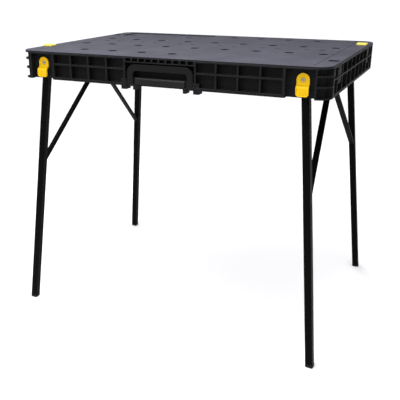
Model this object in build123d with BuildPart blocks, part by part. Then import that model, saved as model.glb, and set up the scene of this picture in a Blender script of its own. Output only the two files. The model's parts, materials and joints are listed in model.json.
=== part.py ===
"""Folding workbench with four splayed legs that fold one by one under the table top.

Millimetres, +Z up, origin on the floor under the middle of the top.
X is the long side, the carry handle is on the -Y side.
"""

import os

from build123d import *

# table top
LENGTH = 860.0
DEPTH = 600.0
HEIGHT = 762.0
SKIRT = 76.0
SKIRT_Z = HEIGHT - SKIRT
CORNER_R = 34.0
EDGE_R = 2.5
DECK_Z = 757.0
CAVITY_X = 411.0
CAVITY_Y = 278.0
CAVITY_R = 16.0

# skirt ribs
RIB_PITCH = 56.0
RIB_T = 4.0
BAY_DEPTH = 17.0
BAY_LOW = 693.0
BAY_HIGH = 754.0
BAY_MID = 728.0
FRONT_BAYS = (126.0, 182.0, 238.0, 294.0)
BACK_BAY = 64.5
BACK_BAY_W = 60.0
LATCH_BAY_X = 360.8
LATCH_BAY_W = 69.4
LATCH_BAY_DEPTH = 19.0
LATCH_BAY_Z = 718.0
CORNER_BAY = 399.5
CORNER_BAY_DEPTH = 13.0
CORNER_BAY_OUT = 4.0
CORNER_SHELVES = (689.0, 716.0, 740.5)
CORNER_SHELF_H = (23.0, 20.5, 15.0)
END_BAYS = (28.0, 84.0, 140.0, 196.0, 241.0)
END_BAY_WIDTHS = (52.0, 52.0, 52.0, 52.0, 30.0)
END_BAY_DEPTH = 14.0

# holes, slots and grooves of the work surface
HOLE_R = 12.5
HOLE_STEP = 90.0
LONG_ROW = 4
SHORT_ROW = 4
ROW_Y = 75.0
SIDE_ROW_Y = 220.0
BACK_ROW_Y = 240.0
SLOT_L = 16.0
SLOT_W = 9.0
SLOT_GAP = 42.0
SLOT_STEP = 127.0
SLOT_Y = 8.0
SLOT_PAIRS = 6
GROOVE_X = 387.0
GROOVE_Y = 287.0
GROOVE_R = 8.0
GROOVE_W = 1.6
GROOVE_DEPTH = 0.8
TRAY_L = 308.0
TRAY_W = 98.0
TRAY_X = -230.0
TRAY_Y = 225.0
TRAY_DEPTH = 2.6
TRAY_R = 8.0
TRAY_HOLE_X = (-354.0, -146.0)
TRAY_HOLE_Y = 197.0
TRAY_HOLE_L = 26.0
TRAY_HOLE_W = 36.0
UNDER_RIB_Z = 751.0
UNDER_RIB_T = 2.5
UNDER_RIBS_X = 8
UNDER_RIBS_Y = 6
UNDER_RIB_END_X = 386.0
UNDER_RIB_END_Y = 262.0

# corner sockets and pop-up stops
SOCKET_X = 411.0
SOCKET_Y = 190.0
SOCKET_L = 25.0
SOCKET_W = 24.0
SOCKET_Z = 716.0
SOCKET_WALL = 4.5
STOP_GAP = 0.4
STOP_CAP_L = 28.0
STOP_CAP_W = 27.0
STOP_CAP_T = 4.5
STOP_CAP_R = 2.5
STOP_EDGE_R = 1.2

# legs and braces
LEG = 19.0
LEG_WALL = 1.5
LEG_X = 369.8
LEG_Y = 267.2
SPLAY_X = 0.1022
SPLAY_Y = 0.08105
LEG_BOTTOM = 8.0
LEG_OVER = 13.0
CAP = 19.8
CAP_R = 2.5
CAP_TOP = 34.0
CAP_CHAMFER = 1.2
BRACE_W = 16.0
BRACE_T = 7.0
BRACE_R = 2.4
BRACE_WALL = 1.2
BRACE_FOOT_Z = 437.0
BRACE_TOP = (369.5, 13.0, 683.0)
EYE_R = 9.5
EYE_T = 4.0

# pivots: the left legs fold on the upper level, the right legs on the lower one
PIN_R = 3.0
PIN_FIT = 0.06
PIN_HEAD_R = 5.5
PIN_HEAD_T = 1.8
LEFT_PIN_Z = 735.0
RIGHT_PIN_Z = 711.0
LEFT_CENTRE = (377.0, 13.5, 712.0)
RIGHT_CENTRE = (381.0, 13.5, 697.0)
EAR_GAP = 0.6
EAR_T = 1.8
EAR_R = 9.0
BASE_OVER = 17.0
BASE_T = 2.5
BASE_L = 40.0
BASE_W = 27.0
BASE_IN = 1.5
WEB_GAP = 0.4
WEB_LOW = 11.4
BLOCK_X = 26.0
BLOCK_Y = 16.0
BLOCK_BELOW = 11.0

# corner latches
LATCH_X = 364.0
LATCH_Z = 728.5
LATCH_TOP_R = 15.2
LATCH_SHIFT = 1.4
LATCH_LOW_W = 29.6
LATCH_LOW_Z = 690.5
LATCH_LOW_TOP = 708.0
LATCH_BACK = -281.3
LATCH_T = 4.5
LATCH_STEP = 9.5
LATCH_GRIP_T = 5.5
LATCH_GRIP_R = 6.6
LATCH_OVER = 1.0
LATCH_RIM = 2.0
LATCH_RIM_DEPTH = 0.8
LATCH_BORE_R = 6.8
LATCH_BORE_DEPTH = 2.4
GRIP_RIBS = 3
GRIP_RIB_PITCH = 6.0
GRIP_RIB_W = 1.8
GRIP_RIB_LOW = 694.5
GRIP_RIB_HIGH = 703.0
SPINDLE_R = 5.0
SPINDLE_FIT = 0.06
HUB_IN = 3.0
SCREW_SHANK_R = 2.0
SCREW_R = 4.2
SCREW_T = 1.6
RECESS_W = 0.9

# carry handle
HANDLE_X = 94.0
HANDLE_ARM = 18.0
HANDLE_TOP = 742.0
HANDLE_BAR = 18.0
HANDLE_R = 24.0
HANDLE_INNER_R = 8.0
HANDLE_EDGE_R = 3.0
HANDLE_FRONT = -298.0
HANDLE_T = 15.0
HANDLE_EYE_Z = 691.0
HANDLE_NICHE_X = 97.5
HANDLE_NICHE_Z = 745.5
HANDLE_NICHE_DEPTH = 24.0
HANDLE_PIN_R = 2.5
LUG_W = 15.4
LUG_GAP = 0.6
LUG_Y = -288.0
LUG_DEPTH = 22.0
LUG_MID_Z = 690.0
LUG_HEIGHT = 27.0
FOOT_W = 9.0
NICHE_BLOCK = 28.0
PIVOT_BLOCK_X = 75.4
HANDLE_PIN_Y = -290.5
HANDLE_PIN_IN = 70.5
HANDLE_PIN_OUT = 101.0
FIN_COUNT = 10
FIN_PITCH = 19.4
FIN_WINDOW = 15.0
FIN_LOW = 747.8
FIN_HIGH = 756.5
FIN_DEPTH = 14.0
PLATE_X = 70.0
PLATE_LOW = 690.0
PLATE_HIGH = 707.0
PLATE_T = 4.0
PLATE_FRONT = -297.0
PLATE_BEVEL = 3.2


def leg_point(sx, sy, z):
    """Centre line of a leg at height z."""
    fall = SKIRT_Z - z
    return Vector(sx * (LEG_X + SPLAY_X * fall), sy * (LEG_Y + SPLAY_Y * fall), z)


def leg_pin(sx, sy):
    """Middle of a leg's fold pin."""
    return leg_point(sx, sy, LEFT_PIN_Z if sx < 0 else RIGHT_PIN_Z)


def centre_pin(sx, sy):
    """Middle of the pin that carries a brace's upper end."""
    x, y, z = LEFT_CENTRE if sx < 0 else RIGHT_CENTRE
    return Vector(sx * x, sy * y, z)


def fold_axis(sx, sy):
    """Direction of a leg's fold axis, from the leg to the middle of the table."""
    return (centre_pin(sx, sy) - leg_pin(sx, sy)).normalized()


def along_axis(sx, sy, start, shift):
    """Plane across the fold axis, shifted along it, with its local Y pointing up."""
    axis = fold_axis(sx, sy)
    level = axis.cross(Vector(0, 0, 1)) * -1
    return Plane(origin=start + axis * shift, x_dir=level, z_dir=axis)


def leg_plane(sx, sy, z):
    """Plane across a leg at height z, turned square to the fold pin."""
    line = leg_point(sx, sy, HEIGHT) - leg_point(sx, sy, 0)
    return Plane(origin=leg_point(sx, sy, z), x_dir=fold_axis(sx, sy), z_dir=line)


def leg_length(z_low, z_high):
    """Length along a leg between two heights."""
    return (leg_point(1, 1, z_high) - leg_point(1, 1, z_low)).length


def ring():
    """Plain skirt wall under the edge of the deck."""
    with BuildPart() as wall:
        with BuildSketch(Plane.XY.offset(SKIRT_Z)):
            RectangleRounded(LENGTH, DEPTH, CORNER_R)
            RectangleRounded(2 * CAVITY_X, 2 * CAVITY_Y, CAVITY_R, mode=Mode.SUBTRACT)
        extrude(amount=DECK_Z - SKIRT_Z)
    return wall.part


def bay_rows():
    """Middle height and height of the lower and of the upper row of bays."""
    low_top = BAY_MID - RIB_T / 2
    high_bottom = BAY_MID + RIB_T / 2
    low = ((BAY_LOW + low_top) / 2, low_top - BAY_LOW)
    high = ((BAY_HIGH + high_bottom) / 2, BAY_HIGH - high_bottom)
    return low, high


def side_bays():
    """Open pockets between the ribs of the long sides, and the latch bays."""
    places = [side * x for x in FRONT_BAYS for side in (-1, 1)]
    with BuildPart() as bays:
        for middle, height in bay_rows():
            for y in (-DEPTH / 2, DEPTH / 2):
                with Locations(*[(x, y, middle) for x in places]):
                    Box(RIB_PITCH - RIB_T, 2 * BAY_DEPTH, height)
            with Locations(*[(x, DEPTH / 2, middle) for x in (-BACK_BAY, 0, BACK_BAY)]):
                Box(BACK_BAY_W, 2 * BAY_DEPTH, height)
        for x in (-LATCH_BAY_X, LATCH_BAY_X):
            with Locations((x, -DEPTH / 2, LATCH_BAY_Z), (x, DEPTH / 2, LATCH_BAY_Z)):
                Box(LATCH_BAY_W, 2 * LATCH_BAY_DEPTH, 2 * (BAY_HIGH - LATCH_BAY_Z))
    return bays.part


def end_bays():
    """Pockets between the ribs of the short sides."""
    with BuildPart() as bays:
        for middle, height in bay_rows():
            for y, width in zip(END_BAYS, END_BAY_WIDTHS):
                spots = [(sx * LENGTH / 2, sy * y, middle) for sx in (-1, 1) for sy in (-1, 1)]
                with Locations(*spots):
                    Box(2 * END_BAY_DEPTH, width, height)
    return bays.part


def corner_bays():
    """Three pockets that wrap round each corner of the skirt."""
    inner_l = LENGTH - 2 * CORNER_BAY_DEPTH
    inner_w = DEPTH - 2 * CORNER_BAY_DEPTH
    with BuildPart() as bays:
        for z, height in zip(CORNER_SHELVES, CORNER_SHELF_H):
            with BuildSketch(Plane.XY.offset(z)):
                with GridLocations(2 * CORNER_BAY + CORNER_R, DEPTH + CORNER_BAY_OUT - CORNER_R, 2, 2):
                    Rectangle(CORNER_R, CORNER_R)
                RectangleRounded(inner_l, inner_w, CORNER_R - CORNER_BAY_DEPTH, mode=Mode.SUBTRACT)
            extrude(amount=height)
    return bays.part


def niche_block():
    """Solid stretch of skirt around the carry handle, with the handle's recess and windows."""
    with BuildPart() as block:
        with Locations((0, (NICHE_BLOCK - DEPTH) / 2, (DECK_Z + SKIRT_Z) / 2)):
            Box(2 * (HANDLE_NICHE_X + RIB_T), NICHE_BLOCK, DECK_Z - SKIRT_Z)
        with Locations((0, -DEPTH / 2, (HANDLE_NICHE_Z + SKIRT_Z) / 2)):
            Box(2 * HANDLE_NICHE_X, 2 * HANDLE_NICHE_DEPTH, HANDLE_NICHE_Z - SKIRT_Z, mode=Mode.SUBTRACT)
        with Locations((0, -DEPTH / 2, (FIN_LOW + FIN_HIGH) / 2)):
            with GridLocations(FIN_PITCH, 1, FIN_COUNT, 1):
                Box(FIN_WINDOW, 2 * FIN_DEPTH, FIN_HIGH - FIN_LOW, mode=Mode.SUBTRACT)
    return block.part


def niche_space():
    """Room cleared out of the skirt before the niche block goes in."""
    with BuildPart() as space:
        with Locations((0, -DEPTH / 2, (DECK_Z + SKIRT_Z) / 2)):
            Box(2 * HANDLE_NICHE_X, 2 * HANDLE_NICHE_DEPTH, DECK_Z - SKIRT_Z)
    return space.part


def handle_mounts():
    """Pivot block between the handle arms, a lug outside each arm and a foot inside it."""
    back = -DEPTH / 2 + HANDLE_NICHE_DEPTH
    front = PLATE_FRONT + PLATE_T
    lug_x = HANDLE_X + LUG_GAP + LUG_W / 2
    foot_x = PIVOT_BLOCK_X - FOOT_W / 2
    low = LUG_MID_Z - LUG_HEIGHT / 2
    high = PLATE_LOW - LUG_GAP
    with BuildPart() as mounts:
        with Locations((0, (back + front) / 2, (SKIRT_Z + PLATE_HIGH) / 2)):
            Box(2 * PIVOT_BLOCK_X, back - front, PLATE_HIGH - SKIRT_Z)
        with Locations((-lug_x, LUG_Y, LUG_MID_Z), (lug_x, LUG_Y, LUG_MID_Z)):
            Box(LUG_W, LUG_DEPTH, LUG_HEIGHT)
        with Locations((-foot_x, LUG_Y, (low + high) / 2), (foot_x, LUG_Y, (low + high) / 2)):
            Box(FOOT_W, LUG_DEPTH, high - low)
    return mounts.part


def socket_blocks():
    """Blocks around the corner sockets."""
    low = SOCKET_Z - SOCKET_WALL
    with BuildPart() as blocks:
        with Locations((0, 0, (low + DECK_Z) / 2)):
            with GridLocations(2 * SOCKET_X, 2 * SOCKET_Y, 2, 2):
                Box(SOCKET_L + 2 * SOCKET_WALL, SOCKET_W + 2 * SOCKET_WALL, DECK_Z - low)
    return blocks.part


def bores():
    """Corner sockets and the holes for the latch hubs."""
    with BuildPart() as cuts:
        for sx in (-1, 1):
            for sy in (-1, 1):
                with Locations((sx * SOCKET_X, sy * SOCKET_Y, (SOCKET_Z + HEIGHT) / 2)):
                    Box(SOCKET_L, SOCKET_W, HEIGHT - SOCKET_Z)
                with Locations(Location((sx * LATCH_X, sy * CAVITY_Y, LATCH_Z), (90, 0, 0))):
                    Cylinder(SPINDLE_R + SPINDLE_FIT, LATCH_BAY_DEPTH)
            add(handle_pin(sx))
    return cuts.part


def work_surface():
    """Clamp holes, small slots, tray and border groove of the deck."""
    spots = [(n * HOLE_STEP, side * ROW_Y) for n in range(-LONG_ROW, LONG_ROW + 1) for side in (-1, 1)]
    spots += [(-n * HOLE_STEP, -SIDE_ROW_Y) for n in range(SHORT_ROW)]
    spots += [(n * HOLE_STEP, BACK_ROW_Y) for n in range(SHORT_ROW)]
    first = -SLOT_STEP * (SLOT_PAIRS - 1) / 2
    pairs = [first + SLOT_STEP * n for n in range(SLOT_PAIRS)]
    slots = [(x + side * SLOT_GAP / 2, SLOT_Y) for x in pairs for side in (-1, 1)]
    with BuildPart() as cuts:
        with BuildSketch(Plane.XY.offset(UNDER_RIB_Z)):
            with Locations(*spots):
                Circle(HOLE_R)
            with Locations(*slots):
                SlotOverall(SLOT_L, SLOT_W)
            with Locations(*[(x, TRAY_HOLE_Y) for x in TRAY_HOLE_X]):
                RectangleRounded(TRAY_HOLE_L, TRAY_HOLE_W, TRAY_R)
        extrude(amount=HEIGHT - UNDER_RIB_Z)
        with BuildSketch(Plane.XY.offset(HEIGHT - GROOVE_DEPTH)):
            RectangleRounded(2 * GROOVE_X, 2 * GROOVE_Y, GROOVE_R)
            RectangleRounded(2 * (GROOVE_X - GROOVE_W), 2 * (GROOVE_Y - GROOVE_W), GROOVE_R - GROOVE_W,
                             mode=Mode.SUBTRACT)
        extrude(amount=GROOVE_DEPTH)
        with BuildSketch(Plane.XY.offset(HEIGHT - TRAY_DEPTH)):
            with Locations((TRAY_X, TRAY_Y)):
                RectangleRounded(TRAY_L, TRAY_W, TRAY_R)
        extrude(amount=TRAY_DEPTH)
    return cuts.part


def deck_panel():
    """Work surface: panel with clamp holes, shallow ribs underneath and pads for the brackets."""
    with BuildPart() as deck:
        with BuildSketch(Plane.XY.offset(DECK_Z)):
            RectangleRounded(LENGTH, DEPTH, CORNER_R)
        extrude(amount=HEIGHT - DECK_Z)
        fillet(deck.faces().sort_by(Axis.Z)[-1].edges(), EDGE_R)
        with BuildSketch(Plane.XY.offset(UNDER_RIB_Z)):
            with GridLocations(HOLE_STEP, 1, UNDER_RIBS_X, 1):
                Rectangle(UNDER_RIB_T, 2 * UNDER_RIB_END_Y)
            with GridLocations(1, ROW_Y, 1, UNDER_RIBS_Y):
                Rectangle(2 * UNDER_RIB_END_X, UNDER_RIB_T)
        extrude(amount=DECK_Z - UNDER_RIB_Z)
        for sx in (-1, 1):
            for sy in (-1, 1):
                pin = leg_pin(sx, sy)
                low = pin.Z + BASE_OVER + BASE_T
                with Locations((pin.X, pin.Y - sy * BASE_IN, (low + DECK_Z) / 2)):
                    Box(BASE_L, BASE_W, DECK_Z - low)
        add(work_surface(), mode=Mode.SUBTRACT)
        add(bores(), mode=Mode.SUBTRACT)
    return deck.part


def skirt_frame():
    """Ribbed skirt with the handle niche, the latch bays and the corner sockets."""
    with BuildPart() as skirt:
        add(ring())
        add(side_bays(), mode=Mode.SUBTRACT)
        add(end_bays(), mode=Mode.SUBTRACT)
        add(corner_bays(), mode=Mode.SUBTRACT)
        add(niche_space(), mode=Mode.SUBTRACT)
        add(niche_block())
        add(handle_mounts())
        add(socket_blocks())
        add(bores(), mode=Mode.SUBTRACT)
    return skirt.part


def leg(sx, sy):
    """Square steel tube leg with the cross hole for its fold pin."""
    high = leg_pin(sx, sy).Z + LEG_OVER
    with BuildPart() as tube:
        with BuildSketch(leg_plane(sx, sy, LEG_BOTTOM)):
            RectangleRounded(LEG, LEG, LEG_WALL)
            RectangleRounded(LEG - 2 * LEG_WALL, LEG - 2 * LEG_WALL, LEG_WALL / 2, mode=Mode.SUBTRACT)
        extrude(amount=leg_length(LEG_BOTTOM, high))
        with BuildSketch(along_axis(sx, sy, leg_pin(sx, sy), -LEG)):
            Circle(PIN_R + PIN_FIT)
        extrude(amount=2 * LEG, mode=Mode.SUBTRACT)
    return tube.part


def foot_cap(sx, sy):
    """Foot plug: a head just wider than the tube, cut flat on the floor, and a stem inside it."""
    with BuildPart() as plug:
        with BuildSketch(leg_plane(sx, sy, -LEG_BOTTOM)):
            RectangleRounded(CAP, CAP, CAP_R)
        extrude(amount=leg_length(-LEG_BOTTOM, LEG_BOTTOM))
        with BuildSketch(leg_plane(sx, sy, LEG_BOTTOM)):
            RectangleRounded(LEG - 2 * LEG_WALL, LEG - 2 * LEG_WALL, LEG_WALL / 2)
        extrude(amount=leg_length(LEG_BOTTOM, CAP_TOP))
        split(bisect_by=Plane.XY, keep=Keep.TOP)
        chamfer(plug.faces().sort_by(Axis.Z)[0].edges(), CAP_CHAMFER)
    return plug.part


def brace_ends(sx, sy):
    """Upper and lower ends of a brace's centre line."""
    x, y, z = BRACE_TOP
    return Vector(sx * x, sy * y, z), leg_point(sx, sy, BRACE_FOOT_Z)


def brace(sx, sy):
    """Flat tube from the middle of the table end down to the leg."""
    top, foot = brace_ends(sx, sy)
    line = foot - top
    with BuildPart() as tube:
        with BuildSketch(Plane(origin=top, x_dir=(1, 0, 0), z_dir=line)):
            RectangleRounded(BRACE_W, BRACE_T, BRACE_R)
            RectangleRounded(BRACE_W - 2 * BRACE_WALL, BRACE_T - 2 * BRACE_WALL, BRACE_R - BRACE_WALL,
                             mode=Mode.SUBTRACT)
        extrude(amount=line.length)
        with BuildSketch(leg_plane(sx, sy, BRACE_FOOT_Z - 2 * LEG)):
            RectangleRounded(LEG, LEG, LEG_WALL)
        extrude(amount=4 * LEG, mode=Mode.SUBTRACT)
        split(bisect_by=along_axis(sx, sy, centre_pin(sx, sy), -EYE_T / 2), keep=Keep.BOTTOM)
    return tube.part


def brace_eye(sx, sy):
    """Flat steel eye that joins a brace to the pin in the middle block."""
    plane = along_axis(sx, sy, centre_pin(sx, sy), -EYE_T / 2)
    top = plane.to_local_coords(brace_ends(sx, sy)[0])
    with BuildPart() as eye:
        with BuildSketch(plane):
            Circle(EYE_R)
            with Locations((top.X, top.Y)):
                Circle(EYE_R)
            make_hull()
            Circle(PIN_R + PIN_FIT, mode=Mode.SUBTRACT)
        extrude(amount=EYE_T)
    return eye.part


def leg_bracket(sx, sy):
    """Folded steel bracket: base plate, two ears and the web the leg rests against."""
    pin = leg_pin(sx, sy)
    inner = LEG / 2 + EAR_GAP
    axis = fold_axis(sx, sy)
    across = (leg_point(sx, sy, HEIGHT) - leg_point(sx, sy, 0)).normalized().cross(axis)
    side = 1 if across.X * sx < 0 else -1
    square = Plane(origin=pin - axis * inner, x_dir=across, z_dir=axis)
    with BuildPart() as bracket:
        for start in (-inner - EAR_T, inner):
            with BuildSketch(along_axis(sx, sy, pin, start)):
                Circle(EAR_R)
                with Locations((0, BASE_OVER)):
                    Rectangle(2 * EAR_R, 2 * BASE_OVER)
                Circle(PIN_R + PIN_FIT, mode=Mode.SUBTRACT)
            extrude(amount=EAR_T)
        with BuildSketch(square):
            with Locations((side * (LEG / 2 + WEB_GAP + EAR_T / 2), WEB_LOW + BASE_OVER / 2)):
                Rectangle(EAR_T, BASE_OVER)
        extrude(amount=2 * inner)
        split(bisect_by=Plane.XY.offset(pin.Z + BASE_OVER), keep=Keep.BOTTOM)
        with Locations((pin.X, pin.Y - sy * BASE_IN, pin.Z + BASE_OVER + BASE_T / 2)):
            Box(BASE_L, BASE_W, BASE_T)
    return bracket.part


def headed_pin(sx, sy, middle, head, tail):
    """Steel pin along a fold axis from its head to its plain end."""
    with BuildPart() as pin:
        with BuildSketch(along_axis(sx, sy, middle, head)):
            Circle(PIN_R)
        extrude(amount=tail - head)
        with BuildSketch(along_axis(sx, sy, middle, head)):
            Circle(PIN_HEAD_R)
        extrude(amount=PIN_HEAD_T if head > tail else -PIN_HEAD_T)
    return pin.part


def fold_pin(sx, sy):
    """Fold pin of a leg, flush with the outer ear and headed inside its bracket."""
    reach = LEG / 2 + EAR_GAP + EAR_T
    return headed_pin(sx, sy, leg_pin(sx, sy), reach, -reach)


def hinge_block(sx):
    """Middle block under one table end that carries both brace pins."""
    x, y, z = LEFT_CENTRE if sx < 0 else RIGHT_CENTRE
    low = z - BLOCK_BELOW
    with BuildPart() as block:
        with Locations((sx * x, 0, (low + DECK_Z) / 2)):
            Box(BLOCK_X, BLOCK_Y, DECK_Z - low)
        for sy in (-1, 1):
            with BuildSketch(along_axis(sx, sy, centre_pin(sx, sy), EYE_T / 2)):
                Circle(PIN_R)
            extrude(amount=BLOCK_Y / 2, mode=Mode.SUBTRACT)
    return block.part


def brace_pin(sx, sy):
    """Pin from the middle block through a brace eye, headed outside the eye."""
    return headed_pin(sx, sy, centre_pin(sx, sy), -EYE_T / 2 - EAR_GAP, EYE_T / 2 + BLOCK_Y / 2)


def latch_plane(sx, sy, out):
    """Plane of a latch, facing away from the table, shifted outwards."""
    origin = (sx * LATCH_X, sy * (-LATCH_BACK + out), LATCH_Z)
    return Plane(origin=origin, x_dir=(-sy, 0, 0), z_dir=(0, sy, 0))


def latch_blank(sx, sy, inset):
    """Front view of a latch, less a margin, as a slab through its whole depth."""
    grip_h = LATCH_LOW_TOP - LATCH_LOW_Z
    spot = (-sx * sy * LATCH_SHIFT, LATCH_LOW_Z + grip_h / 2 - LATCH_Z)
    with BuildPart() as blank:
        with BuildSketch(latch_plane(sx, sy, 0)):
            Circle(LATCH_TOP_R - inset)
            with Locations(spot):
                RectangleRounded(LATCH_LOW_W - 2 * inset, grip_h - 2 * inset, LATCH_GRIP_R - inset)
            make_hull()
        extrude(amount=LATCH_T + LATCH_STEP + LATCH_OVER)
    return blank.part


def latch_side(sy, back, front):
    """Side view of a latch as a slab: back and front are its faces, each above and below the bend."""
    side = Plane(origin=(0, sy * -LATCH_BACK, LATCH_Z), x_dir=(0, sy, 0), z_dir=(sy, 0, 0))
    top = LATCH_TOP_R + LATCH_OVER
    foot = LATCH_LOW_Z - LATCH_Z - LATCH_OVER
    bend = LATCH_LOW_TOP - LATCH_Z
    with BuildPart() as slab:
        with BuildSketch(side):
            with BuildLine():
                Spline((front[0], -LATCH_BORE_R), (front[1], bend), tangents=[(0, -1), (0, -1)])
                Polyline((front[1], bend), (front[1], foot), (back[1], foot), (back[1], bend))
                Spline((back[1], bend), (back[0], -LATCH_BORE_R), tangents=[(0, 1), (0, 1)])
                Polyline((back[0], -LATCH_BORE_R), (back[0], top), (front[0], top), (front[0], -LATCH_BORE_R))
            make_face()
        extrude(amount=LENGTH / 2, both=True)
    return slab.part


def latch_face(sx, sy):
    """Shallow recess inside the rim of a latch."""
    out = LATCH_T + LATCH_STEP
    beyond = out + LATCH_OVER
    floor = (LATCH_T - LATCH_RIM_DEPTH, out - LATCH_RIM_DEPTH)
    with BuildPart() as face:
        add(latch_blank(sx, sy, LATCH_RIM))
        add(latch_side(sy, floor, (beyond, beyond)), mode=Mode.INTERSECT)
    return face.part


def latch(sx, sy):
    """Latch lever: a rimmed plate round its screw, cranked outwards to the finger grip below."""
    out = LATCH_T + LATCH_STEP
    rib_h = GRIP_RIB_HIGH - GRIP_RIB_LOW
    with BuildPart() as lever:
        add(latch_blank(sx, sy, 0))
        add(latch_side(sy, (0, out - LATCH_GRIP_T), (LATCH_T, out)), mode=Mode.INTERSECT)
        add(latch_face(sx, sy), mode=Mode.SUBTRACT)
        with BuildSketch(latch_plane(sx, sy, out - LATCH_RIM_DEPTH)):
            with Locations((-sx * sy * LATCH_SHIFT, GRIP_RIB_LOW + rib_h / 2 - LATCH_Z)):
                with GridLocations(GRIP_RIB_PITCH, 1, GRIP_RIBS, 1):
                    SlotOverall(rib_h, GRIP_RIB_W, rotation=90)
        extrude(amount=LATCH_RIM_DEPTH)
        with BuildSketch(latch_plane(sx, sy, 0)):
            Circle(SPINDLE_R)
        extrude(amount=-HUB_IN)
        with BuildSketch(latch_plane(sx, sy, LATCH_T)):
            Circle(LATCH_BORE_R)
        extrude(amount=-LATCH_BORE_DEPTH, mode=Mode.SUBTRACT)
        with BuildSketch(latch_plane(sx, sy, LATCH_T)):
            Circle(SCREW_SHANK_R)
        extrude(amount=-LATCH_T - HUB_IN, mode=Mode.SUBTRACT)
    return lever.part


def latch_screw(sx, sy):
    """Cross-recess screw in the hub of a latch."""
    seat = LATCH_T - LATCH_BORE_DEPTH
    with BuildPart() as screw:
        with BuildSketch(latch_plane(sx, sy, seat)):
            Circle(SCREW_R)
        extrude(amount=SCREW_T)
        with BuildSketch(latch_plane(sx, sy, seat)):
            Circle(SCREW_SHANK_R)
        extrude(amount=-seat - HUB_IN)
        with BuildSketch(latch_plane(sx, sy, seat + SCREW_T)):
            Rectangle(SCREW_R, RECESS_W)
            Rectangle(RECESS_W, SCREW_R)
        extrude(amount=-SCREW_T / 2, mode=Mode.SUBTRACT)
    return screw.part


def carry_handle():
    """U-shaped grip whose arms hang on two pins at the foot of the skirt."""
    front = Plane(origin=(0, HANDLE_FRONT, 0), x_dir=(1, 0, 0), z_dir=(0, -1, 0))
    inner_x = HANDLE_X - HANDLE_ARM
    outer_h = HANDLE_TOP - HANDLE_EYE_Z + HANDLE_R
    inner_h = HANDLE_TOP - HANDLE_BAR - HANDLE_EYE_Z + HANDLE_R
    with BuildPart() as grip:
        with BuildSketch(front):
            with Locations((0, HANDLE_TOP - outer_h / 2)):
                RectangleRounded(2 * HANDLE_X, outer_h, HANDLE_R)
            with Locations((0, HANDLE_TOP - HANDLE_BAR - inner_h / 2)):
                RectangleRounded(2 * inner_x, inner_h, HANDLE_INNER_R, mode=Mode.SUBTRACT)
            with Locations((0, HANDLE_EYE_Z - HANDLE_R / 2)):
                Rectangle(2 * HANDLE_X + HANDLE_R, HANDLE_R, mode=Mode.SUBTRACT)
        extrude(amount=-HANDLE_T)
        fillet(grip.faces().sort_by(Axis.Y)[0].edges(), HANDLE_EDGE_R)
        with Locations(Location((0, HANDLE_PIN_Y, HANDLE_EYE_Z), (0, 90, 0))):
            Cylinder(HANDLE_T / 2, 2 * HANDLE_X)
            Cylinder(HANDLE_T / 2 + LUG_GAP, 2 * inner_x, mode=Mode.SUBTRACT)
            Cylinder(HANDLE_PIN_R + PIN_FIT, 2 * HANDLE_X, mode=Mode.SUBTRACT)
    return grip.part


def handle_pin(sx):
    """Short pin through one handle arm, held by the pivot block and the lug."""
    length = HANDLE_PIN_OUT - HANDLE_PIN_IN
    with BuildPart() as pin:
        with Locations(Location((sx * (HANDLE_PIN_IN + length / 2), HANDLE_PIN_Y, HANDLE_EYE_Z), (0, 90, 0))):
            Cylinder(HANDLE_PIN_R, length)
    return pin.part


def front_plate():
    """Plain plate with a sloping top edge, in front of the handle's pivot block."""
    with BuildPart() as plate:
        with Locations((0, PLATE_FRONT + PLATE_T / 2, (PLATE_LOW + PLATE_HIGH) / 2)):
            Box(2 * PLATE_X, PLATE_T, PLATE_HIGH - PLATE_LOW)
        front = plate.faces().sort_by(Axis.Y)[0]
        chamfer(front.edges().sort_by(Axis.Z)[-1], PLATE_BEVEL)
    return plate.part


def work_stop(sx, sy):
    """Pop-up stop: post in a corner socket with a thin cap over the deck."""
    with BuildPart() as stop:
        with BuildSketch(Plane.XY.offset(SOCKET_Z + STOP_GAP)):
            with Locations((sx * SOCKET_X, sy * SOCKET_Y)):
                Rectangle(SOCKET_L - 2 * STOP_GAP, SOCKET_W - 2 * STOP_GAP)
        extrude(amount=HEIGHT - SOCKET_Z)
        with BuildSketch(Plane.XY.offset(HEIGHT + STOP_GAP)):
            with Locations((sx * SOCKET_X, sy * SOCKET_Y)):
                RectangleRounded(STOP_CAP_L, STOP_CAP_W, STOP_CAP_R)
        extrude(amount=STOP_CAP_T)
        fillet(stop.faces().sort_by(Axis.Z)[-1].edges(), STOP_EDGE_R)
    return stop.part


def save(shape, name):
    """Write one named part to its own file."""
    shape.label = name
    export_step(shape, f"parts/{name}.step")


def main():
    os.makedirs("parts", exist_ok=True)
    save(deck_panel(), "deck_panel")
    save(skirt_frame(), "skirt_frame")
    for sx, side in ((-1, "left"), (1, "right")):
        save(hinge_block(sx), f"hinge_block_{side}")
        save(handle_pin(sx), f"handle_pin_{side}")
        for sy, face in ((-1, "front"), (1, "back")):
            where = f"{face}_{side}"
            save(leg(sx, sy), f"leg_{where}")
            save(foot_cap(sx, sy), f"foot_cap_{where}")
            save(brace(sx, sy), f"brace_{where}")
            save(brace_eye(sx, sy), f"brace_eye_{where}")
            save(brace_pin(sx, sy), f"brace_pin_{where}")
            save(leg_bracket(sx, sy), f"leg_bracket_{where}")
            save(fold_pin(sx, sy), f"leg_pin_{where}")
            save(latch(sx, sy), f"latch_{where}")
            save(latch_screw(sx, sy), f"latch_screw_{where}")
    save(carry_handle(), "carry_handle")
    save(front_plate(), "front_plate")
    save(work_stop(-1, -1), "work_stop_front_left")
    save(work_stop(1, 1), "work_stop_back_right")


main()
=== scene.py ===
"""Looks for the folding portable workbench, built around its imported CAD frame. Metres, +Z up."""

import json
from math import cos, pi, radians, sin

import bmesh
import bpy
from mathutils import Matrix, Vector


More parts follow.
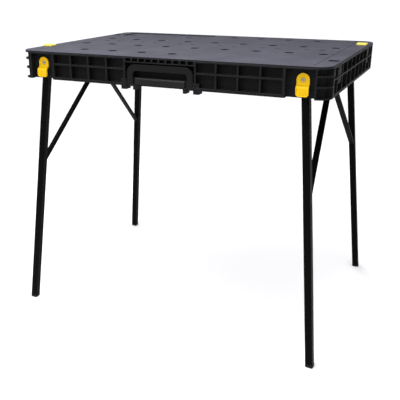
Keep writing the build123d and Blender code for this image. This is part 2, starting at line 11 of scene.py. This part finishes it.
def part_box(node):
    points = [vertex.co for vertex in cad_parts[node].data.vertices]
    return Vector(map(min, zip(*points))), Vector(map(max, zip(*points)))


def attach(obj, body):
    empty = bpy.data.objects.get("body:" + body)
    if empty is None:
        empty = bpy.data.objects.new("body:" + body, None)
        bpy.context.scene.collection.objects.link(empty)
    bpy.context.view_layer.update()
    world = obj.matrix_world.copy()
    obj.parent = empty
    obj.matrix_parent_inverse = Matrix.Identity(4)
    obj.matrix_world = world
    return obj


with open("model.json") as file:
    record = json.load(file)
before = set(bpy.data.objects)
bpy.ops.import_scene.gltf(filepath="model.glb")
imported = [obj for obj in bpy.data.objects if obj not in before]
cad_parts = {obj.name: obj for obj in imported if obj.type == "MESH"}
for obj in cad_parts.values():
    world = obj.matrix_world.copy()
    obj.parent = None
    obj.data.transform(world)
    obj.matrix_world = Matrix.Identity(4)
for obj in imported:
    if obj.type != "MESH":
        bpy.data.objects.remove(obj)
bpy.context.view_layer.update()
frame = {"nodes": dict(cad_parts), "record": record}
nodes = frame["nodes"]

# camera: a three-quarter view from the handle side, its turns and its lens
EYE = Vector((0.710, -1.675, 0.956))
YAW = radians(25.63)
PITCH = radians(20.3)
ROLL = radians(-0.29)
LENS = 54.94
SHIFT_X = 0.057
FAR = 200

# floor: half its side, and its pale paint
FLOOR_REACH = 70.0
FLOOR_TONE = 0.92
FLOOR_ROUGHNESS = 0.9

# studio dome: where it is brightest, its strength away from there and towards there, and the backdrop
DOME_TOWARDS = Vector((-0.42, -0.42, 0.80))
DOME_LOW = -0.10
DOME_HIGH = 0.95
DOME_DIM = 0.10
DOME_BRIGHT = 1.9
DOME_COLOR = (0.98, 0.98, 1, 1)
BACKDROP = 1.1

# edges: rounded as geometry on the small pieces, and as shading on the large ones
EDGE_WELD = 0.000002
EDGE_FLAT = radians(0.4)
EDGE_TURN = radians(32)
EDGE_SAMPLES = 6
EDGES = {
    "latch_plastic": 0.0008,
    "stop_plastic": 0.0004,
    "boot_plastic": 0.0006,
}

# painted edge highlights: their reach in rounding radii, the cosine of the surface's turn where the
# highlight starts and is full, the least highlight between patches, and the scale of the patches
HIGHLIGHT_REACH = 2
HIGHLIGHT_START = 0.995
HIGHLIGHT_FULL = 0.8
HIGHLIGHT_LEAST = 0.35
HIGHLIGHT_PATCHES = 45.0

# the middle stretch of a noise, where most of its values are
NOISE_LOW = 0.3
NOISE_HIGH = 0.7

# bracket screws: pan heads and their cross recess, and where they sit on a leg bracket
SCREW_R = 0.0028
SCREW_H = 0.0018
SCREW_WALL = 0.0006
SCREW_ROUND = radians(66)
SCREW_SIDES = 32
SCREW_STEPS = 6
SCREW_APART = 0.032
SCREW_TURN = radians(17)
RECESS_REACH = 0.00135
RECESS_HALF = 0.0003
RECESS_DEEP = 0.0011
RECESS_TAPER = 0.6
BRACKET_BASE = 0.0025


def link_object(name, data):
    """New object in the scene."""
    item = bpy.data.objects.new(name, data)
    bpy.context.scene.collection.objects.link(item)
    return item


def make_camera():
    """Camera that looks along YAW and PITCH from EYE."""
    ahead = Vector((-sin(YAW) * cos(PITCH), cos(YAW) * cos(PITCH), -sin(PITCH)))
    level = ahead.cross(Vector((0, 0, 1))).normalized()
    upright = level.cross(ahead)
    right = cos(ROLL) * level + sin(ROLL) * upright
    up = cos(ROLL) * upright - sin(ROLL) * level
    turn = Matrix((right, up, -ahead)).transposed().to_4x4()
    data = bpy.data.cameras.new("camera")
    data.lens = LENS
    data.shift_x = SHIFT_X
    data.clip_end = FAR
    camera = link_object("camera", data)
    camera.matrix_world = Matrix.Translation(EYE) @ turn
    bpy.context.scene.camera = camera


def make_stage():
    """Pale floor that runs out of view."""
    mesh = bpy.data.meshes.new("floor")
    corners = [(-1, -1), (1, -1), (1, 1), (-1, 1)]
    mesh.from_pydata([(x * FLOOR_REACH, y * FLOOR_REACH, 0) for x, y in corners], [], [(0, 1, 2, 3)])
    paint = bpy.data.materials.new("floor_paint")
    paint.use_nodes = True
    shader = paint.node_tree.nodes["Principled BSDF"]
    shader.inputs["Base Color"].default_value = (FLOOR_TONE, FLOOR_TONE, FLOOR_TONE, 1)
    shader.inputs["Roughness"].default_value = FLOOR_ROUGHNESS
    mesh.materials.append(paint)
    link_object("floor", mesh)


def make_world():
    """Studio dome: bright overhead on the handle side, dim low down and behind; a plain pale backdrop."""
    world = bpy.data.worlds.new("studio")
    world.use_nodes = True
    tree = world.node_tree
    back = tree.nodes["Background"]
    back.inputs["Color"].default_value = DOME_COLOR
    place = tree.nodes.new("ShaderNodeTexCoord")
    facing = tree.nodes.new("ShaderNodeVectorMath")
    facing.operation = "DOT_PRODUCT"
    facing.inputs[1].default_value = DOME_TOWARDS
    fall = tree.nodes.new("ShaderNodeMapRange")
    fall.inputs["From Min"].default_value = DOME_LOW
    fall.inputs["From Max"].default_value = DOME_HIGH
    fall.inputs["To Min"].default_value = DOME_DIM
    fall.inputs["To Max"].default_value = DOME_BRIGHT
    path = tree.nodes.new("ShaderNodeLightPath")
    seen = tree.nodes.new("ShaderNodeMix")
    seen.inputs["B"].default_value = BACKDROP
    tree.links.new(place.outputs["Generated"], facing.inputs[0])
    tree.links.new(facing.outputs["Value"], fall.inputs["Value"])
    tree.links.new(path.outputs["Is Camera Ray"], seen.inputs["Factor"])
    tree.links.new(fall.outputs["Result"], seen.inputs["A"])
    tree.links.new(seen.outputs["Result"], back.inputs["Strength"])
    bpy.context.scene.world = world


def area_light(name, place, target, size, power):
    """Soft box at place that faces target and doesn't show itself."""
    data = bpy.data.lights.new(name, "AREA")
    data.shape = "RECTANGLE"
    data.size, data.size_y = size
    data.energy = power
    light = link_object(name, data)
    light.location = place
    light.rotation_euler = (Vector(target) - Vector(place)).to_track_quat("-Z", "Y").to_euler()
    light.visible_camera = False
    return light


def make_lights():
    """Soft boxes for the handle side, the near half of the deck and the back, and a plain view transform."""
    area_light("front_box", place=(-0.25, -1.25, 1.9), target=(-0.05, -0.2, 0.7), size=(1.3, 0.7), power=12)
    area_light("deck_strip", place=(0.0, -0.4, 1.55), target=(0.0, -0.33, 0.75), size=(1.1, 0.25), power=13)
    fill = area_light(
        "back_fill", place=(-0.8, 1.5, 0.75), target=(-0.1, 0.3, 0.7), size=(1.4, 0.6), power=14)
    fill.visible_glossy = False
    view = bpy.context.scene.view_settings
    view.view_transform = "Standard"
    view.look = "None"


class Look:
    """A node material that is built up a few steps at a time."""

    def __init__(self, name, color, roughness, metallic=0.0, gloss=0.5, edge=0.0):
        self.data = bpy.data.materials.new(name)
        self.data.use_nodes = True
        self.tree = self.data.node_tree
        self.shader = self.tree.nodes["Principled BSDF"]
        self.shader.inputs["Base Color"].default_value = (*color, 1)
        self.shader.inputs["Roughness"].default_value = roughness
        self.shader.inputs["Metallic"].default_value = metallic
        self.shader.inputs["Specular IOR Level"].default_value = gloss
        self.color = color
        self.edge = edge
        self.place = self.add("ShaderNodeTexCoord").outputs["Object"]
        self.bump = None
        if edge:
            self.bump = self.rounded(edge)
            self.link(self.bump, self.shader.inputs["Normal"])

    def add(self, kind, **values):
        """New node with some of its inputs or settings set."""
        node = self.tree.nodes.new(kind)
        for key, value in values.items():
            if key in node.inputs:
                node.inputs[key].default_value = value
            else:
                setattr(node, key, value)
        return node

    def link(self, start, end):
        self.tree.links.new(start, end)

    def shade(self, share):
        """The base colour times share."""
        return (*[min(1, c * share) for c in self.color], 1)

    def noise(self, scale, detail, stretch=None):
        """Noise in object space, stretched if asked."""
        node = self.add("ShaderNodeTexNoise", Scale=scale, Detail=detail)
        place = self.place
        if stretch:
            mapping = self.add("ShaderNodeMapping", Scale=stretch)
            self.link(place, mapping.inputs["Vector"])
            place = mapping.outputs["Vector"]
        self.link(place, node.inputs["Vector"])
        return node.outputs["Fac"]

    def spread(self, source, low, high, start=NOISE_LOW, end=NOISE_HIGH):
        """Maps source from start..end to low..high."""
        node = self.add("ShaderNodeMapRange")
        node.inputs["From Min"].default_value = start
        node.inputs["From Max"].default_value = end
        node.inputs["To Min"].default_value = low
        node.inputs["To Max"].default_value = high
        self.link(source, node.inputs["Value"])
        return node.outputs["Result"]

    def tint(self, source, low, high):
        """Colour that goes from low to high times the base colour along source."""
        ramp = self.add("ShaderNodeValToRGB")
        first, last = ramp.color_ramp.elements
        first.position, last.position = NOISE_LOW, NOISE_HIGH
        first.color, last.color = self.shade(low), self.shade(high)
        self.link(source, ramp.inputs["Fac"])
        self.link(ramp.outputs["Color"], self.shader.inputs["Base Color"])

    def rough(self, source, low, high):
        """Roughness that varies along source."""
        self.link(self.spread(source, low, high), self.shader.inputs["Roughness"])

    def relief(self, source, distance, strength):
        """Adds one more layer of bump."""
        node = self.add("ShaderNodeBump", Strength=strength, Distance=distance)
        self.link(source, node.inputs["Height"])
        if self.bump:
            self.link(self.bump, node.inputs["Normal"])
        self.bump = node.outputs["Normal"]
        self.link(self.bump, self.shader.inputs["Normal"])

    def rounded(self, radius):
        """Surface direction with the edges rounded."""
        return self.add("ShaderNodeBevel", Radius=radius, samples=EDGE_SAMPLES).outputs["Normal"]

    def painted_edge_highlights(self, high):
        """Paints the edges lighter in patches, up to high times the base colour: a painted highlight along
        the edges.
        """
        turn = self.add("ShaderNodeVectorMath", operation="DOT_PRODUCT")
        self.link(self.rounded(HIGHLIGHT_REACH * self.edge), turn.inputs[0])
        self.link(self.add("ShaderNodeNewGeometry").outputs["True Normal"], turn.inputs[1])
        patchy = self.add("ShaderNodeMath", operation="MULTIPLY")
        self.link(self.spread(turn.outputs["Value"], 0.0, 1.0, HIGHLIGHT_START, HIGHLIGHT_FULL), patchy.inputs[0])
        self.link(self.spread(self.noise(HIGHLIGHT_PATCHES, detail=4.0), HIGHLIGHT_LEAST, 1.0), patchy.inputs[1])
        self.overlay(patchy.outputs["Value"], high)

    def painted_wall_shade(self, share):
        """Darkens upright faces to share times the base colour: painted shade on the walls of holes and
        grooves.
        """
        facing = self.add("ShaderNodeSeparateXYZ")
        self.link(self.add("ShaderNodeTexCoord").outputs["Normal"], facing.inputs["Vector"])
        level = self.add("ShaderNodeMath", operation="ABSOLUTE")
        self.link(facing.outputs["Z"], level.inputs[0])
        self.overlay(self.spread(level.outputs["Value"], 1.0, 0.0), share)

    def overlay(self, mask, share):
        """Mixes share times the base colour over the colour that is there, where mask is 1."""
        mix = self.add("ShaderNodeMix", data_type="RGBA")
        into = {socket.identifier: socket for socket in mix.inputs}
        result = {socket.identifier: socket for socket in mix.outputs}["Result_Color"]
        into["B_Color"].default_value = self.shade(share)
        self.link(mask, into["Factor_Float"])
        self.link(self.shader.inputs["Base Color"].links[0].from_socket, into["A_Color"])
        self.link(result, self.shader.inputs["Base Color"])


def moulded_plastic(
        name, color, roughness, gloss, grain=1800.0, depth=0.00012, edge=0.0008, edge_highlight=1.5, wall_shade=1.0):
    """Textured injection moulded plastic: spark-eroded grain over a faint flow pattern."""
    look = Look(name, color, roughness, gloss=gloss, edge=edge)
    look.tint(look.noise(14.0, detail=6.0), low=0.86, high=1.16)
    look.rough(look.noise(120.0, detail=3.0), low=roughness - 0.06, high=roughness + 0.08)
    look.relief(look.noise(grain, detail=2.0), distance=depth, strength=0.5)
    look.relief(look.noise(22.0, detail=2.0), distance=0.0004, strength=0.15)
    # painted shade on the upright walls of holes and grooves
    if wall_shade < 1:
        look.painted_wall_shade(wall_shade)
    # edges painted lighter in patches: painted highlight
    look.painted_edge_highlights(edge_highlight)
    return look.data


def powder_coat(name, color, roughness):
    """Black powder coat with its orange peel."""
    look = Look(name, color, roughness, gloss=0.03, edge=0.0005)
    look.tint(look.noise(30.0, detail=4.0), low=0.85, high=1.2)
    look.rough(look.noise(260.0, detail=2.0), low=roughness - 0.05, high=roughness + 0.1)
    look.relief(look.noise(700.0, detail=2.0), distance=0.00015, strength=0.4)
    # edges painted lighter in patches: painted highlight
    look.painted_edge_highlights(2.0)
    return look.data


def plated_steel(name, color):
    """Zinc plated steel with a fine brushed grain."""
    look = Look(name, color, roughness=0.3, metallic=1.0)
    look.tint(look.noise(180.0, detail=5.0), low=0.8, high=1.1)
    look.rough(look.noise(900.0, detail=3.0, stretch=(1, 6, 1)), low=0.22, high=0.42)
    look.relief(look.noise(2500.0, detail=2.0, stretch=(1, 8, 1)), distance=0.00003, strength=0.4)
    return look.data


def rubber(name, color):
    """Matt rubber with scuffs."""
    look = Look(name, color, roughness=0.75, gloss=0.2)
    look.tint(look.noise(90.0, detail=5.0), low=0.8, high=1.35)
    look.rough(look.noise(300.0, detail=3.0), low=0.65, high=0.9)
    look.relief(look.noise(1400.0, detail=2.0), distance=0.0001, strength=0.5)
    return look.data


def make_looks():
    """One material for each material slot of the record."""
    return {
        # deck: painted shade on its hole and groove walls, at 0.12 times its colour
        "deck_plastic": moulded_plastic(
            "deck_plastic_look", (0.045, 0.045, 0.059), roughness=0.55, gloss=0.12, wall_shade=0.12),
        # skirt, trim and handle: strong painted highlights along their edges
        "skirt_plastic": moulded_plastic(
            "skirt_plastic_look", (0.0085, 0.0085, 0.009), roughness=0.5, gloss=0.03, edge=0.0012, edge_highlight=3.0),
        "trim_plastic": moulded_plastic(
            "trim_plastic_look", (0.0085, 0.0085, 0.0087), roughness=0.4, gloss=0.1, edge=0.0012, edge_highlight=3.0),
        "handle_plastic": moulded_plastic(
            "handle_plastic_look", (0.006, 0.006, 0.0063), roughness=0.42, gloss=0.07, grain=1200.0,
            edge=0.001, edge_highlight=2.5),
        "latch_plastic": moulded_plastic(
            "latch_plastic_look", (0.58, 0.355, 0.0005), roughness=0.4, gloss=0.14, grain=1500.0,
            depth=0.00006),
        "stop_plastic": moulded_plastic(
            "stop_plastic_look", (0.64, 0.53, 0.085), roughness=0.42, gloss=0.3, grain=1500.0,
            depth=0.00006),
        "boot_plastic": rubber("boot_plastic_look", (0.004, 0.004, 0.0043)),
        "leg_paint": powder_coat("leg_paint_look", (0.0012, 0.0012, 0.0013), roughness=0.42),
        "bracket_steel": powder_coat("bracket_steel_look", (0.008, 0.008, 0.0084), roughness=0.45),
        "pin_steel": plated_steel("pin_steel_look", (0.6, 0.6, 0.62)),
        "screw_steel": plated_steel("screw_steel_look", (0.3, 0.29, 0.28)),
    }


def soften(piece, width):
    """Rounds a CAD node's edges by modifiers: its own mesh stays as it is."""
    weld = piece.modifiers.new("weld", "WELD")
    weld.merge_threshold = EDGE_WELD
    flat = piece.modifiers.new("flat", "DECIMATE")
    flat.decimate_type = "DISSOLVE"
    flat.angle_limit = EDGE_FLAT
    edge = piece.modifiers.new("edge", "BEVEL")
    edge.width = width
    edge.segments = 2
    edge.limit_method = "ANGLE"
    edge.angle_limit = EDGE_TURN
    edge.use_clamp_overlap = True
    edge.miter_outer = "MITER_ARC"
    piece.modifiers.new("normals", "WEIGHTED_NORMAL")


def dress_nodes(looks):
    """Gives every CAD node its material, and the small ones soft edges."""
    for part in frame["record"]["subparts"]:
        piece = nodes[part["node"]]
        slot = part["material_slot"]
        for place in piece.material_slots:
            place.material = looks[slot]
        if slot in EDGES:
            soften(piece, EDGES[slot])


def stacked(name, rings):
    """Closed solid of stacked rings of points, each with as many points as the first."""
    shape = bmesh.new()
    rows = [[shape.verts.new(point) for point in ring] for ring in rings]
    shape.faces.new(rows[0][::-1])
    shape.faces.new(rows[-1])
    for low, high in zip(rows, rows[1:]):
        for i, vert in enumerate(low):
            after = (i + 1) % len(low)
            shape.faces.new((vert, low[after], high[after], high[i]))
    bmesh.ops.recalc_face_normals(shape, faces=shape.faces)
    mesh = bpy.data.meshes.new(name)
    shape.to_mesh(mesh)
    shape.free()
    return link_object(name, mesh)


def circle(radius, z):
    """Ring of points round Z."""
    turns = [2 * pi * i / SCREW_SIDES for i in range(SCREW_SIDES)]
    return [(radius * cos(turn), radius * sin(turn), z) for turn in turns]


def cross(share, z):
    """Outline of the cross recess, share times its full size."""
    reach, half = share * RECESS_REACH, share * RECESS_HALF
    arm = [(reach, -half), (reach, half), (half, half)]
    quarters = [(1, 0), (0, 1), (-1, 0), (0, -1)]
    return [(x * c - y * s, x * s + y * c, z) for c, s in quarters for x, y in arm]


def screw_head():
    """Mesh of a pan head with a cross recess, its seat at Z 0 and its top towards -Z."""
    rings = [circle(SCREW_R, 0)]
    for step in range(SCREW_STEPS + 1):
        turn = SCREW_ROUND * step / SCREW_STEPS
        rings.append(circle(SCREW_R * cos(turn), -SCREW_WALL - (SCREW_H - SCREW_WALL) * sin(turn)))
    head = stacked("head", rings)
    depths = [(1, -2 * SCREW_H), (1, -SCREW_H), (RECESS_TAPER, RECESS_DEEP - SCREW_H)]
    tool = stacked("recess", [cross(share, z) for share, z in depths])
    cut = head.modifiers.new("cut", "BOOLEAN")
    cut.object = tool
    cut.solver = "EXACT"
    mesh = bpy.data.meshes.new_from_object(head.evaluated_get(bpy.context.evaluated_depsgraph_get()))
    bpy.data.objects.remove(head)
    bpy.data.objects.remove(tool)
    return mesh


def make_bracket_screws(look):
    """Two pan heads under the base plate of every leg bracket, beside the ears."""
    head = screw_head()
    shape = bmesh.new()
    for bracket in [name for name in nodes if name.startswith("leg_bracket_")]:
        low, high = [Vector(corner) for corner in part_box(bracket)]
        seat = (low + high) / 2
        seat.z = high.z - BRACKET_BASE
        for side in (-1, 1):
            spot = Matrix.Translation(seat + Vector((side * SCREW_APART / 2, 0, 0)))
            count = len(shape.verts)
            shape.from_mesh(head)
            shape.verts.ensure_lookup_table()
            bmesh.ops.transform(
                shape, matrix=spot @ Matrix.Rotation(side * SCREW_TURN, 4, "Z"), verts=shape.verts[count:])
    mesh = bpy.data.meshes.new("bracket_screws")
    shape.to_mesh(mesh)
    shape.free()
    mesh.materials.append(look)
    mesh.shade_smooth()
    mesh.set_sharp_from_angle(angle=EDGE_TURN)
    piece = link_object("bracket_screws", mesh)
    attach(piece, "table")


make_camera()
make_stage()
make_world()
make_lights()
looks = make_looks()
dress_nodes(looks)
make_bracket_screws(looks["screw_steel"])
